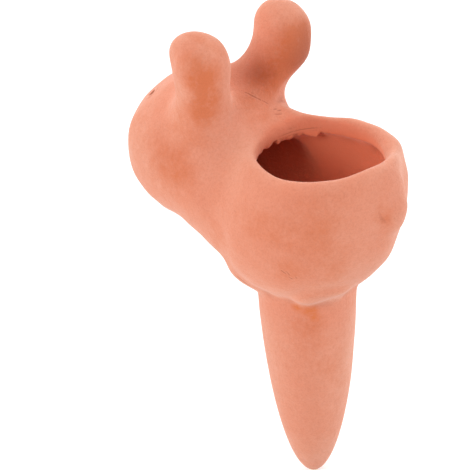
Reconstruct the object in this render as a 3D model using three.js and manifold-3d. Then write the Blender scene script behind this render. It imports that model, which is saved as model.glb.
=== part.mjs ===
// A terracotta plant waterer in the shape of a small long-eared animal.
// Water is poured into the open back, runs through a hole in the floor of the bowl into the hollow spike,
// and seeps through the unglazed wall of the spike into the soil.
// Millimetres, +Z up. The animal looks towards -Y, and its left side is +X.
// The origin lies on the axis of the spike at the soil line, level with the underside of the bowl.

import * as THREE from 'three';
import { mergeVertices } from 'three/addons/utils/BufferGeometryUtils.js';
import Module from 'manifold-3d';

const wasm = await Module();
wasm.setup();

// Joint: the layer of slip that lutes one clay piece to the next
const LUTE_GAP = 0.3;

// Bowl: a round cup that leans back towards its mouth, with a rolled rim
const BELLY_RADIUS = 33.9;
const UNDERSIDE_RADIUS = 15.7;
const RIM_RADIUS = 25.9;
const RIM_HEIGHT = 55.2;
const RIM_ROLL = 4.8;
const SHOULDER_RISE = 12;
const MOUTH_LIP = 3.5;
const MOUTH_SINK = 5.8;
const MOUTH_SETBACK = 8.3;
const BOWL_WALL = 4.5;
const DRAIN_RADIUS = 11;

// Spike: a hollow ogive with a rounded tip
const SPIKE_RADIUS = 18.5;
const SPIKE_LENGTH = 85.8;
const SPIKE_FULLNESS = 1.63;
const SPIKE_WALL = 5;
const SPIKE_TIP_WALL = 9;

// Head: an egg on a thick neck, turned a little to the animal's right
const HEAD_TURN = 9;
const HEAD_REACH = 47.6;
const HEAD_HEIGHT = 42;
const HEAD_HALF_WIDTH = 29.6;
const HEAD_HALF_HEIGHT = 29;
const HEAD_NOSE = 29.2;
const HEAD_WALL = 5;

// Neck: the waist of the clay between the head and the bowl, from under the rim to above the soil
const NECK_REACH = 15;
const NECK_HALF_WIDTH = 30.4;
const NECK_BELOW_RIM = 1.9;
const NECK_ABOVE_SOIL = 2.8;
const NAPE_FULLNESS = 1.4;

// Face: two poked eyes and a cut mouth
const EYE_RADIUS = 2;
const EYE_TIP_RADIUS = 1.2;
const EYE_DEPTH = 3.8;
const EYE_SPREAD = 39;
const EYE_RISE = 46.5;
const LIP_WIDTH = 11;
const LIP_HEIGHT = 1.2;
const LIP_DEPTH = 2;
const LIP_DROP = 9.5;

// Ears: thick stems that bow back and outwards, each with its tip folded forwards into a blunt beak
// and with a root that flares towards the nape
const EAR_SPREAD = 30.8;
const EAR_SET_BACK = 11.8;
const EAR_LENGTH = 24;
const LEFT_EAR_SPLAY = 8;
const LEFT_EAR_LEAN = 14;
const RIGHT_EAR_SPLAY = 20;
const RIGHT_EAR_LEAN = 18;
const EAR_BOW = 2;
const EAR_STEM_RADIUS = 9.6;
const EAR_FLARE = 2.6;
const EAR_FLARE_RISE = 11;
const EAR_TIP_RADIUS = 10;
const EAR_TIP_LENGTH = 12.4;
const EAR_BEAK_RADIUS = 7;
const EAR_BEAK_RISE = 27;

// Feet: shallow pads under the bowl, one beside each quarter of the spike
const FOOT_RADIUS = 10;
const FOOT_STAND = 2.1;
const FOOT_SPACING_X = 31;
const FOOT_SPACING_Y = 31.4;

// Tail: a small pressed-on button of clay
const TAIL_RADIUS = 7;
const TAIL_STAND = 3;
const TAIL_HEIGHT = 37;

// Fired clay: its colour and roughness on each kind of piece
const BOWL_CLAY = { color: 0xcf8a68, roughness: 0.9, metalness: 0 };
const SPIKE_CLAY = { color: 0xd68e6a, roughness: 0.92, metalness: 0 };
const HEAD_CLAY = { color: 0xd28c69, roughness: 0.9, metalness: 0 };
const EAR_CLAY = { color: 0xd48f6c, roughness: 0.9, metalness: 0 };
const FOOT_CLAY = { color: 0xd08a66, roughness: 0.92, metalness: 0 };
const TAIL_CLAY = { color: 0xd39070, roughness: 0.9, metalness: 0 };

// Facets
const BOWL_SIDES = 40;
const SPIKE_SIDES = 32;
const HEAD_SIDES = 32;
const EAR_SIDES = 20;
const PAD_SIDES = 16;
const EYE_SIDES = 12;
const ARC_STEPS = 5;
const SPIKE_STEPS = 12;
const NOSE_STEPS = 8;
const NECK_STEPS = 6;
const STEM_STEPS = 9;
const LIP_STEPS = 3;
const MERGE_TOLERANCE = 0.0001;

const { clamp, degToRad, lerp, mapLinear, smoothstep } = THREE.MathUtils;
const QUARTER_TURN = Math.PI / 2;

// Solids: closed geometry to and from the library that joins and cuts it
function solid(geometry) {
  const bare = geometry.clone();
  bare.deleteAttribute('normal');
  bare.deleteAttribute('uv');
  const merged = mergeVertices(bare, MERGE_TOLERANCE);
  const vertProperties = new Float32Array(merged.attributes.position.array);
  const triVerts = new Uint32Array(merged.index.array);
  return new wasm.Manifold(new wasm.Mesh({ numProp: 3, vertProperties, triVerts }));
}

function geometryOf(body) {
  const mesh = body.getMesh();
  const geometry = new THREE.BufferGeometry();
  geometry.setAttribute('position', new THREE.BufferAttribute(mesh.vertProperties, mesh.numProp));
  geometry.setIndex(new THREE.BufferAttribute(mesh.triVerts, 1));
  geometry.computeVertexNormals();
  return geometry;
}

// A revolved form stands on +Z
function revolve(path, sides) {
  const profile = path.getPoints(ARC_STEPS);
  profile.push(profile[0].clone());
  return new THREE.LatheGeometry(profile, sides).rotateX(QUARTER_TURN);
}

// A ring of points about a centre, in the plane of two directions
function ringOf(centre, across, over, sides) {
  const ring = [];
  for (let side = 0; side < sides; side += 1) {
    const angle = (2 * Math.PI * side) / sides;
    const point = centre.clone().addScaledVector(across, Math.cos(angle));
    ring.push(point.addScaledVector(over, Math.sin(angle)));
  }
  return ring;
}

// A loft closes a row of rings with a fan to a point at each end
function loft(rings, start, finish) {
  const sides = rings[0].length;
  const points = rings.flat();
  const faces = [];
  for (let ring = 0; ring + 1 < rings.length; ring += 1) {
    for (let side = 0; side < sides; side += 1) {
      const here = ring * sides + side;
      const next = ring * sides + ((side + 1) % sides);
      faces.push(here, next, here + sides);
      faces.push(next, next + sides, here + sides);
    }
  }
  const first = points.push(start) - 1;
  const last = points.push(finish) - 1;
  const lastRing = (rings.length - 1) * sides;
  for (let side = 0; side < sides; side += 1) {
    const next = (side + 1) % sides;
    faces.push(first, next, side);
    faces.push(last, lastRing + side, lastRing + next);
  }
  const geometry = new THREE.BufferGeometry().setFromPoints(points);
  geometry.setIndex(faces);
  return geometry;
}

// Bowl: the belly is round, and stands on a flat underside
const bellyHeight = Math.sqrt(BELLY_RADIUS ** 2 - UNDERSIDE_RADIUS ** 2);
const mouthRadius = RIM_RADIUS - MOUTH_LIP;

// The cup leans back along a curve, from nothing at the underside
function setback(height) {
  return MOUTH_SETBACK * (Math.max(0, height) / RIM_HEIGHT) ** 2;
}

function leanBack(geometry) {
  const place = geometry.attributes.position;
  for (let index = 0; index < place.count; index += 1) {
    place.setY(index, place.getY(index) + setback(place.getZ(index)));
  }
  return geometry;
}

// The outer side runs from the underside over the belly to the crest of the rim
function bowlOutside(path, grow) {
  const radius = BELLY_RADIUS + grow;
  const crest = RIM_HEIGHT + grow;
  const shoulder = bellyHeight + SHOULDER_RISE;
  const underAngle = Math.asin((-grow - bellyHeight) / radius);
  path.lineTo(radius * Math.cos(underAngle), -grow);
  path.absellipse(0, bellyHeight, radius, radius, underAngle, 0);
  path.bezierCurveTo(radius, shoulder, RIM_RADIUS + RIM_ROLL, crest, RIM_RADIUS, crest);
  return path;
}

function bowlCore(grow) {
  const path = bowlOutside(new THREE.Path().moveTo(0, -grow), grow);
  path.lineTo(0, RIM_HEIGHT + grow);
  return leanBack(revolve(path, BOWL_SIDES));
}

// The pot goes on over the rim into the mouth, and back inside along the wall to the drain hole
function bowlPot() {
  const radius = BELLY_RADIUS - BOWL_WALL;
  const edge = RIM_HEIGHT - MOUTH_SINK;
  const floorAngle = Math.asin((BOWL_WALL - bellyHeight) / radius);
  const path = bowlOutside(new THREE.Path().moveTo(DRAIN_RADIUS, 0), 0);
  path.quadraticCurveTo(mouthRadius, RIM_HEIGHT, mouthRadius, edge);
  path.quadraticCurveTo(radius, edge, radius, bellyHeight);
  path.absellipse(0, bellyHeight, radius, radius, 0, floorAngle, true);
  path.lineTo(DRAIN_RADIUS, BOWL_WALL);
  return leanBack(revolve(path, BOWL_SIDES));
}

// The outer radius of the bowl at a height, read off its profile
function bowlRadius(height) {
  const profile = bowlOutside(new THREE.Path().moveTo(0, 0), 0).getPoints(ARC_STEPS);
  const above = profile.findIndex((point) => point.y > height);
  const [low, high] = [profile[above - 1], profile[above]];
  return mapLinear(height, low.y, high.y, low.x, high.x);
}

// Spike: an ogive below the bowl, with closer rings towards its tip
function spikeOgive(top, radius, length) {
  const profile = [new THREE.Vector2(0, -length)];
  for (let step = SPIKE_STEPS - 1; step >= 0; step -= 1) {
    const share = Math.sin(QUARTER_TURN * (step / SPIKE_STEPS));
    profile.push(new THREE.Vector2(radius * Math.sqrt(1 - share ** SPIKE_FULLNESS), -length * share));
  }
  profile.push(new THREE.Vector2(radius, top));
  profile.push(new THREE.Vector2(0, top));
  return new THREE.LatheGeometry(profile, SPIKE_SIDES).rotateX(QUARTER_TURN);
}

// Head and neck: upright rings along the forward direction, from inside the bowl to the nose
const neckTop = RIM_HEIGHT - NECK_BELOW_RIM;

// The clay swells from the neck to the cheeks, and the nape rises sooner than the throat
function headSection(reach, inset) {
  const share = clamp(mapLinear(reach, NECK_REACH, HEAD_REACH, 0, 1), 0, 1);
  const swell = smoothstep(share, 0, 1);
  const rise = 1 - (1 - share) ** NAPE_FULLNESS;
  const top = lerp(neckTop, HEAD_HEIGHT + HEAD_HALF_HEIGHT, rise) - inset;
  const bottom = lerp(NECK_ABOVE_SOIL, HEAD_HEIGHT - HEAD_HALF_HEIGHT, swell) + inset;
  const wide = lerp(NECK_HALF_WIDTH, HEAD_HALF_WIDTH, swell) - inset;
  return { height: (top + bottom) / 2, wide, tall: (top - bottom) / 2 };
}

function headRing(reach, section, shrink) {
  const centre = new THREE.Vector3(0, -reach, section.height);
  const across = new THREE.Vector3(section.wide * shrink, 0, 0);
  const up = new THREE.Vector3(0, 0, section.tall * shrink);
  return ringOf(centre, across, up, HEAD_SIDES);
}

// An inset form is the hollow inside the wall, and one with a negative inset leaves room for slip
function headForm(inset) {
  const back = headSection(0, inset);
  const cheeks = headSection(HEAD_REACH, inset);
  const nose = HEAD_NOSE - inset;
  const rings = [headRing(0, back, 1)];
  for (let step = 0; step <= NECK_STEPS; step += 1) {
    const reach = lerp(NECK_REACH, HEAD_REACH, step / NECK_STEPS);
    rings.push(headRing(reach, headSection(reach, inset), 1));
  }
  for (let step = 1; step < NOSE_STEPS; step += 1) {
    const angle = QUARTER_TURN * (step / NOSE_STEPS);
    rings.push(headRing(HEAD_REACH + nose * Math.sin(angle), cheeks, Math.cos(angle)));
  }
  const start = new THREE.Vector3(0, 0, back.height);
  const tip = new THREE.Vector3(0, -HEAD_REACH - nose, cheeks.height);
  return loft(rings, start, tip);
}

// A point of the face, and the direction that the clay faces there
function onFace(turn, rise) {
  const way = new THREE.Vector3(0, -1, 0);
  way.applyAxisAngle(new THREE.Vector3(1, 0, 0), -degToRad(rise));
  way.applyAxisAngle(new THREE.Vector3(0, 0, 1), degToRad(turn));
  const size = new THREE.Vector3(HEAD_HALF_WIDTH, HEAD_NOSE, HEAD_HALF_HEIGHT);
  const point = way.clone().multiply(size);
  point.add(new THREE.Vector3(0, -HEAD_REACH, HEAD_HEIGHT));
  const facing = way.clone().divide(size).normalize();
  return { point, facing };
}

// An eye is a tapered poke, as deep below the clay as its cutter stands above it
function eyePoke(side) {
  const { point, facing } = onFace(side * EYE_SPREAD, EYE_RISE);
  const mouthOfCut = 2 * EYE_RADIUS - EYE_TIP_RADIUS;
  const turn = new THREE.Quaternion().setFromUnitVectors(new THREE.Vector3(0, 1, 0), facing);
  return new THREE.CylinderGeometry(mouthOfCut, EYE_TIP_RADIUS, 2 * EYE_DEPTH, EYE_SIDES)
    .applyQuaternion(turn)
    .translate(point.x, point.y, point.z);
}

function lipCut() {
  const { point } = onFace(0, -LIP_DROP);
  const half = LIP_WIDTH / 2;
  const outline = new THREE.Shape();
  outline.absarc(-half, 0, LIP_HEIGHT / 2, QUARTER_TURN, -QUARTER_TURN);
  outline.absarc(half, 0, LIP_HEIGHT / 2, -QUARTER_TURN, QUARTER_TURN);
  const cut = { depth: 2 * LIP_DEPTH, bevelEnabled: false, curveSegments: LIP_STEPS };
  return new THREE.ExtrudeGeometry(outline, cut)
    .translate(0, 0, -LIP_DEPTH)
    .rotateX(QUARTER_TURN)
    .translate(point.x, point.y, point.z);
}

// Ears: rings about a bowed spine, from a bed inside the head over a flared root to the crown
const earRootRadius = EAR_STEM_RADIUS + EAR_FLARE;

function earRing(centre, along, radius) {
  const across = new THREE.Vector3(0, 1, 0).cross(along).normalize();
  const over = along.clone().cross(across);
  return ringOf(centre, across.multiplyScalar(radius), over.multiplyScalar(radius), EAR_SIDES);
}

// The curve's knee stands twice as far back as the spine bows
function earStem(side, root, crown) {
  const middle = root.clone().add(crown).divideScalar(2);
  const knee = middle.add(new THREE.Vector3(0, 2 * EAR_BOW, 0));
  const spine = new THREE.QuadraticBezierCurve3(root, knee, crown);
  const upward = spine.getTangent(0);
  const napeward = new THREE.Vector3(-side, 1, 0).normalize();
  const bed = root.clone().addScaledVector(upward, -earRootRadius).addScaledVector(napeward, EAR_FLARE);
  const rings = [earRing(bed, upward, earRootRadius)];
  for (let step = 0; step <= STEM_STEPS; step += 1) {
    const share = step / STEM_STEPS;
    const plain = lerp(EAR_STEM_RADIUS, EAR_TIP_RADIUS, share);
    const flare = EAR_FLARE * Math.max(0, 1 - (share * EAR_LENGTH) / EAR_FLARE_RISE) ** 2;
    const centre = spine.getPoint(share).addScaledVector(napeward, flare);
    rings.push(earRing(centre, spine.getTangent(share), plain + flare));
  }
  return loft(rings, bed, crown);
}

// The tip is an egg whose narrow end is the beak, pointing forwards
function earTip() {
  const cheek = EAR_TIP_LENGTH - EAR_BEAK_RADIUS;
  const path = new THREE.Path().moveTo(0, -EAR_TIP_RADIUS);
  path.absarc(0, 0, EAR_TIP_RADIUS, -QUARTER_TURN, 0);
  path.bezierCurveTo(EAR_TIP_RADIUS, cheek, EAR_BEAK_RADIUS, EAR_TIP_LENGTH, 0, EAR_TIP_LENGTH);
  return new THREE.LatheGeometry(path.getPoints(ARC_STEPS), EAR_SIDES).rotateX(Math.PI);
}

function earForm(side, splay, lean) {
  const reach = HEAD_REACH - EAR_SET_BACK;
  const section = headSection(reach, 0);
  const root = new THREE.Vector3((side * EAR_SPREAD) / 2, -reach, section.height);
  root.z += section.tall * Math.sqrt(1 - (root.x / section.wide) ** 2);
  const along = new THREE.Vector3(side * Math.tan(degToRad(splay)), Math.tan(degToRad(lean)), 1);
  along.normalize();
  const crown = root.clone().addScaledVector(along, EAR_LENGTH);
  const tip = earTip()
    .rotateX(-degToRad(EAR_BEAK_RISE))
    .rotateY(degToRad(side * splay))
    .translate(crown.x, crown.y, crown.z);
  return solid(earStem(side, root, crown)).add(solid(tip));
}

// Pads: round pats of clay pressed on the bowl, facing out from a point inside it
function pad(radius, stand, centre, seat) {
  const facing = seat.clone().sub(centre).normalize();
  const turn = new THREE.Quaternion().setFromUnitVectors(new THREE.Vector3(0, 0, 1), facing);
  return new THREE.SphereGeometry(radius, PAD_SIDES, PAD_SIDES / 2)
    .rotateX(QUARTER_TURN)
    .scale(1, 1, stand / radius)
    .applyQuaternion(turn)
    .translate(seat.x, seat.y, seat.z);
}

function footPad(sideways, backward) {
  const centre = new THREE.Vector3(0, 0, bellyHeight);
  const seat = new THREE.Vector3((sideways * FOOT_SPACING_X) / 2, (backward * FOOT_SPACING_Y) / 2, 0);
  seat.z = bellyHeight - Math.sqrt(BELLY_RADIUS ** 2 - seat.x ** 2 - seat.y ** 2);
  return pad(FOOT_RADIUS, FOOT_STAND, centre, seat);
}

function tailPad() {
  const centre = new THREE.Vector3(0, 0, TAIL_HEIGHT);
  const seat = new THREE.Vector3(0, bowlRadius(TAIL_HEIGHT) + setback(TAIL_HEIGHT), TAIL_HEIGHT);
  return pad(TAIL_RADIUS, TAIL_STAND, centre, seat);
}

// Assembly: the head and its ears turn together about the axis of the bowl
const waterer = new THREE.Group();
const headGroup = new THREE.Group();
headGroup.rotation.z = -degToRad(HEAD_TURN);
headGroup.updateMatrixWorld();
waterer.add(headGroup);
const toHead = headGroup.matrixWorld.clone().invert();

function placed(geometry, matrix) {
  return solid(geometry.clone().applyMatrix4(matrix));
}

function addPiece(parent, name, body, clay) {
  const mesh = new THREE.Mesh(geometryOf(body), new THREE.MeshStandardMaterial(clay));
  mesh.name = name;
  parent.add(mesh);
}

// What each piece leaves room for: the filled bowl, head and spike, larger by the layer of slip
const bowlRoom = bowlCore(LUTE_GAP);
const headRoom = headForm(-LUTE_GAP);
const spikeRoom = spikeOgive(LUTE_GAP, SPIKE_RADIUS + LUTE_GAP, SPIKE_LENGTH + LUTE_GAP);
const headCavity = headForm(HEAD_WALL);

const bowl = solid(bowlPot()).subtract(placed(headCavity, headGroup.matrixWorld));
addPiece(waterer, 'reservoir_bowl', bowl, BOWL_CLAY);

const spikeBore = spikeOgive(LUTE_GAP, SPIKE_RADIUS - SPIKE_WALL, SPIKE_LENGTH - SPIKE_TIP_WALL);
const spike = solid(spikeOgive(-LUTE_GAP, SPIKE_RADIUS, SPIKE_LENGTH)).subtract(solid(spikeBore));
addPiece(waterer, 'watering_spike', spike, SPIKE_CLAY);

let head = solid(headForm(0)).subtract(solid(headCavity)).subtract(placed(bowlRoom, toHead));
for (const cut of [eyePoke(1), eyePoke(-1), lipCut()]) {
  head = head.subtract(solid(cut));
}
addPiece(headGroup, 'head_shell', head, HEAD_CLAY);

const leftEar = earForm(1, LEFT_EAR_SPLAY, LEFT_EAR_LEAN);
const rightEar = earForm(-1, RIGHT_EAR_SPLAY, RIGHT_EAR_LEAN);
addPiece(headGroup, 'left_ear', leftEar.subtract(solid(headRoom)), EAR_CLAY);
addPiece(headGroup, 'right_ear', rightEar.subtract(solid(headRoom)), EAR_CLAY);

for (const [end, backward] of [['front', -1], ['rear', 1]]) {
  for (const [hand, sideways] of [['left', 1], ['right', -1]]) {
    const pat = solid(footPad(sideways, backward)).subtract(solid(bowlRoom)).subtract(solid(spikeRoom));
    const foot = pat.subtract(placed(headRoom, headGroup.matrixWorld));
    addPiece(waterer, `${end}_${hand}_foot`, foot, FOOT_CLAY);
  }
}

addPiece(waterer, 'tail', solid(tailPad()).subtract(solid(bowlRoom)), TAIL_CLAY);

export default waterer;
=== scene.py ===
"""Dresses a terracotta plant waterer in the shape of a small long-eared animal.

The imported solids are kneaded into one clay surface, its luted joints are smoothed as a potter's thumb
smooths them, the marks of the hand are pressed into it, and the surface is cut back along the joints
into the pieces that the solids name.
Lengths are metres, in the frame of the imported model: +Z up, the animal looks towards -Y.
"""

import logging
import math
from dataclasses import dataclass, field
from enum import Enum

import bmesh
import bpy
import numpy as np
from mathutils import Matrix, Vector
from mathutils.bvhtree import BVHTree
from mathutils.kdtree import KDTree


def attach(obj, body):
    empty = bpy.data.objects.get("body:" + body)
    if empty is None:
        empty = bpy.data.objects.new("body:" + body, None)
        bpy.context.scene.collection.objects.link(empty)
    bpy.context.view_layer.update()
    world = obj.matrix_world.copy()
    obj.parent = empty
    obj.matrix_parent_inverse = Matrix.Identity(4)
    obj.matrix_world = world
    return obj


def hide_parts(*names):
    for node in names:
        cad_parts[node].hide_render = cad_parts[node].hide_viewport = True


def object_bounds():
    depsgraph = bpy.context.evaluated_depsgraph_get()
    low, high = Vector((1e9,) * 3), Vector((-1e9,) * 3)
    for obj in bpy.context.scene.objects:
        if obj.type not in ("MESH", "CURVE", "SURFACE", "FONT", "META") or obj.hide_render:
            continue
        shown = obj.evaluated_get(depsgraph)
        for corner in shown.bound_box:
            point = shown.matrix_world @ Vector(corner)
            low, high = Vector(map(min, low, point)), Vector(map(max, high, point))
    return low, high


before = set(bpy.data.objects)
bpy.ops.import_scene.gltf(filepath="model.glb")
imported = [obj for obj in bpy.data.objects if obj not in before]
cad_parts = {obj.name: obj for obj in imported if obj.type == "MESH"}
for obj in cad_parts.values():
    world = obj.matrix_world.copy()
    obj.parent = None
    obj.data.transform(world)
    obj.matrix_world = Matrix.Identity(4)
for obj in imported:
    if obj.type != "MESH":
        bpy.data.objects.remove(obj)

CAD_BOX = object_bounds()
BODY = "root"
MM = 0.001
IMAGE_SIDE = 470
UNTOUCHED = 0.01
log = logging.getLogger("waterer")

Colour = tuple[float, float, float, float]
Place = tuple[float, float, float]


class Mark(Enum):
    """The painted masks that the clay carries from its shape to its material."""

    # Painted highlight: paler colour on convex edges and on spots that stand in for light.
    BLOOM = "edge_bloom"
    CREASE = "crease_shade"
    # Kiln blush, and painted shade on the tail, the nape and the right ear's outer side.
    BLUSH = "kiln_blush"
    STAIN = "rust_stain"
    # Painted bounce light: a redder tint inside the hollows.
    RAW = "raw_inside"
    PIT = "pit_shade"


class Joint(Enum):
    """The luted joints, named by the pieces that were pressed on."""

    NECK = ("head_shell",)
    EAR = ("left_ear", "right_ear")
    FOOT = ("front_left_foot", "front_right_foot", "rear_left_foot", "rear_right_foot")
    TAIL = ("tail",)
    SPIKE = ("watering_spike",)


class Working(Enum):
    """How a piece was worked, which shows in the grain of its clay."""

    WIPED = "wiped_terracotta"
    PINCHED = "pinched_terracotta"
    SCRAPED = "scraped_terracotta"


def ramp(values: np.ndarray, low: float, high: float) -> np.ndarray:
    """A smooth rise from 0 at low to 1 at high.

    Args:
        values: the values to map.
        low: where the rise starts.
        high: where the rise ends.

    Returns:
        The mapped values.
    """
    share = np.clip((values - low) / (high - low), 0.0, 1.0)
    return share * share * (3.0 - 2.0 * share)


def ripple(points: np.ndarray, wavelength: float, seed: int, waves: int = 14) -> np.ndarray:
    """Smooth uneven noise of about unit height, from crossing waves.

    Args:
        points: places, one row each.
        wavelength: the usual distance between two crests.
        seed: picks the pattern.
        waves: how many waves cross.

    Returns:
        One value for each place.
    """
    draw = np.random.default_rng(seed)
    ways = draw.normal(size=(waves, points.shape[1]))
    ways /= np.linalg.norm(ways, axis=1)[:, None]
    pace = 2.0 * math.pi / (wavelength * draw.uniform(0.75, 1.35, waves))
    start = draw.uniform(0.0, 2.0 * math.pi, waves)
    return np.sin((points @ ways.T) * pace + start).sum(axis=1) * math.sqrt(2.0 / waves)


@dataclass(frozen=True)
class Thumbing:
    """How far and how hard a joint was smoothed."""

    reach: float
    strength: float


@dataclass(frozen=True)
class Spot:
    """A soft round place on the clay, placed in millimetres; a higher edge gives it a flatter top."""

    place: Place
    reach: float
    strength: float
    edge: float = 2.0

    def weigh(self, points: np.ndarray) -> np.ndarray:
        """The spot's strength at each point.

        Args:
            points: places on the clay, one row each.

        Returns:
            The strength at each place, falling to nothing at about twice the reach.
        """
        away = np.linalg.norm(points - np.array(self.place) * MM, axis=1)
        return self.strength * np.exp(-((away / (self.reach * MM)) ** self.edge))


def weigh(spots: tuple[Spot, ...], points: np.ndarray) -> np.ndarray:
    """The strength of several spots together.

    Args:
        spots: the spots.
        points: places on the clay, one row each.

    Returns:
        The summed strength at each place.
    """
    return sum(spot.weigh(points) for spot in spots)


class ClaySkin:
    """The clay's surface as one mesh, and the ways that a potter works it."""

    def __init__(self, mesh: bpy.types.Mesh) -> None:
        """Takes over a mesh.

        Args:
            mesh: the closed surface to work on.
        """
        self.mesh = mesh
        self.marks: dict[Mark, np.ndarray] = {}
        self._link()

    def _link(self) -> None:
        """Reads the mesh's points, and lists each point's neighbours."""
        count = len(self.mesh.vertices)
        flat = np.empty(count * 3, np.float32)
        self.mesh.vertices.foreach_get("co", flat)
        self.points = flat.reshape(-1, 3).astype(float)
        ends = np.empty(len(self.mesh.edges) * 2, np.int32)
        self.mesh.edges.foreach_get("vertices", ends)
        self.edges = ends.reshape(-1, 2)
        here = np.concatenate([self.edges[:, 0], self.edges[:, 1]])
        there = np.concatenate([self.edges[:, 1], self.edges[:, 0]])
        self._near = there[np.argsort(here, kind="stable")]
        self._count = np.bincount(here, minlength=count)
        self._first = np.concatenate([[0], np.cumsum(self._count)[:-1]])

    def _rows(self, chosen: np.ndarray) -> tuple[np.ndarray, np.ndarray, np.ndarray]:
        """The neighbour lists of some points.

        Args:
            chosen: the points' numbers.

        Returns:
            The neighbours in one row, where each point's stretch starts, and how many it has.
        """
        count = self._count[chosen]
        start = np.concatenate([[0], np.cumsum(count)[:-1]])
        within = np.arange(count.sum()) - np.repeat(start, count)
        return self._near[np.repeat(self._first[chosen], count) + within], start, count

    def store(self) -> None:
        """Writes the worked points back to the mesh."""
        self.mesh.vertices.foreach_set("co", self.points.astype(np.float32).ravel())
        self.mesh.update()

    def normals(self) -> np.ndarray:
        """The direction that the clay faces.

        Returns:
            One direction of unit length for each point.
        """
        self.store()
        flat = np.empty(len(self.points) * 3, np.float32)
        self.mesh.vertex_normals.foreach_get("vector", flat)
        return flat.reshape(-1, 3).astype(float)

    def spread(self, values: np.ndarray, steps: int) -> np.ndarray:
        """Averages a value over the surface.

        Args:
            values: one value for each point.
            steps: how often each point takes in its neighbours.

        Returns:
            The averaged values.
        """
        for _ in range(steps):
            values = 0.5 * values + 0.5 * np.add.reduceat(values[self._near], self._first) / self._count
        return values

    def smooth(self, weight: np.ndarray, steps: int) -> None:
        """Wipes the clay, which takes off small bumps.

        Args:
            weight: from 0 to 1 for each point, how much it gives way.
            steps: how often the clay is wiped.
        """
        chosen = np.flatnonzero(weight > UNTOUCHED)
        near, start, count = self._rows(chosen)
        pull = 0.5 * weight[chosen, None]
        for _ in range(steps):
            middle = np.add.reduceat(self.points[near], start, axis=0) / count[:, None]
            self.points[chosen] += pull * (middle - self.points[chosen])

    def fill(self, weight: np.ndarray, steps: int) -> None:
        """Presses slip into creases, which only ever adds clay.

        Args:
            weight: from 0 to 1 for each point, how much slip it takes.
            steps: how often slip is pressed in.
        """
        chosen = np.flatnonzero(weight > UNTOUCHED)
        near, start, count = self._rows(chosen)
        facing = self.normals()[chosen]
        for step in range(steps):
            if step % 6 == 0:
                facing = self.normals()[chosen]
            middle = np.add.reduceat(self.points[near], start, axis=0) / count[:, None]
            hollow = ((middle - self.points[chosen]) * facing).sum(axis=1)
            self.points[chosen] += (0.5 * weight[chosen] * np.maximum(hollow, 0.0))[:, None] * facing

    def push(self, amount: np.ndarray | float) -> None:
        """Moves the clay out along the way that it faces.

        Args:
            amount: the distance for each point, or one for all.
        """
        self.points += self.normals() * np.broadcast_to(amount, len(self.points))[:, None]

    def refine(self, region: np.ndarray) -> None:
        """Splits the faces of a region, to hold finer detail there.

        Args:
            region: true for each point of the region.
        """
        self.store()
        work = bmesh.new()
        work.from_mesh(self.mesh)
        inside = [e for e in work.edges if region[e.verts[0].index] and region[e.verts[1].index]]
        bmesh.ops.subdivide_edges(work, edges=inside, cuts=1, use_grid_fill=True)
        work.to_mesh(self.mesh)
        work.free()
        self._link()

    def roundness(self, steps: int) -> np.ndarray:
        """How sharply the clay curves outwards at each point, as one over a radius.

        Args:
            steps: how often the result is averaged over the surface.

        Returns:
            The mean curvature, negative in creases.
        """
        facing = self.normals()
        every = np.arange(len(self.points))
        near, start, count = self._rows(every)
        step = self.points[near] - np.repeat(self.points, count, axis=0)
        reach = np.add.reduceat((step * step).sum(axis=1), start) / count
        middle = np.add.reduceat(step, start, axis=0) / count[:, None]
        return self.spread(-2.0 * (middle * facing).sum(axis=1) / reach, steps)

    def tree(self) -> BVHTree:
        """Indexes the surface as it is now.

        Returns:
            A search tree of its faces.
        """
        self.store()
        return BVHTree.FromPolygons(
            [Vector(p) for p in self.points],
            [tuple(face.vertices) for face in self.mesh.polygons],
        )

    def paint(self, mark: Mark, values: np.ndarray) -> None:
        """Lays a mask over what is there already, the stronger one showing.

        Args:
            mark: the mask.
            values: from 0 to 1 for each point.
        """
        under = self.marks.get(mark, np.zeros(len(self.points)))
        self.marks[mark] = np.clip(np.maximum(under, values), 0.0, 1.0)


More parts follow.
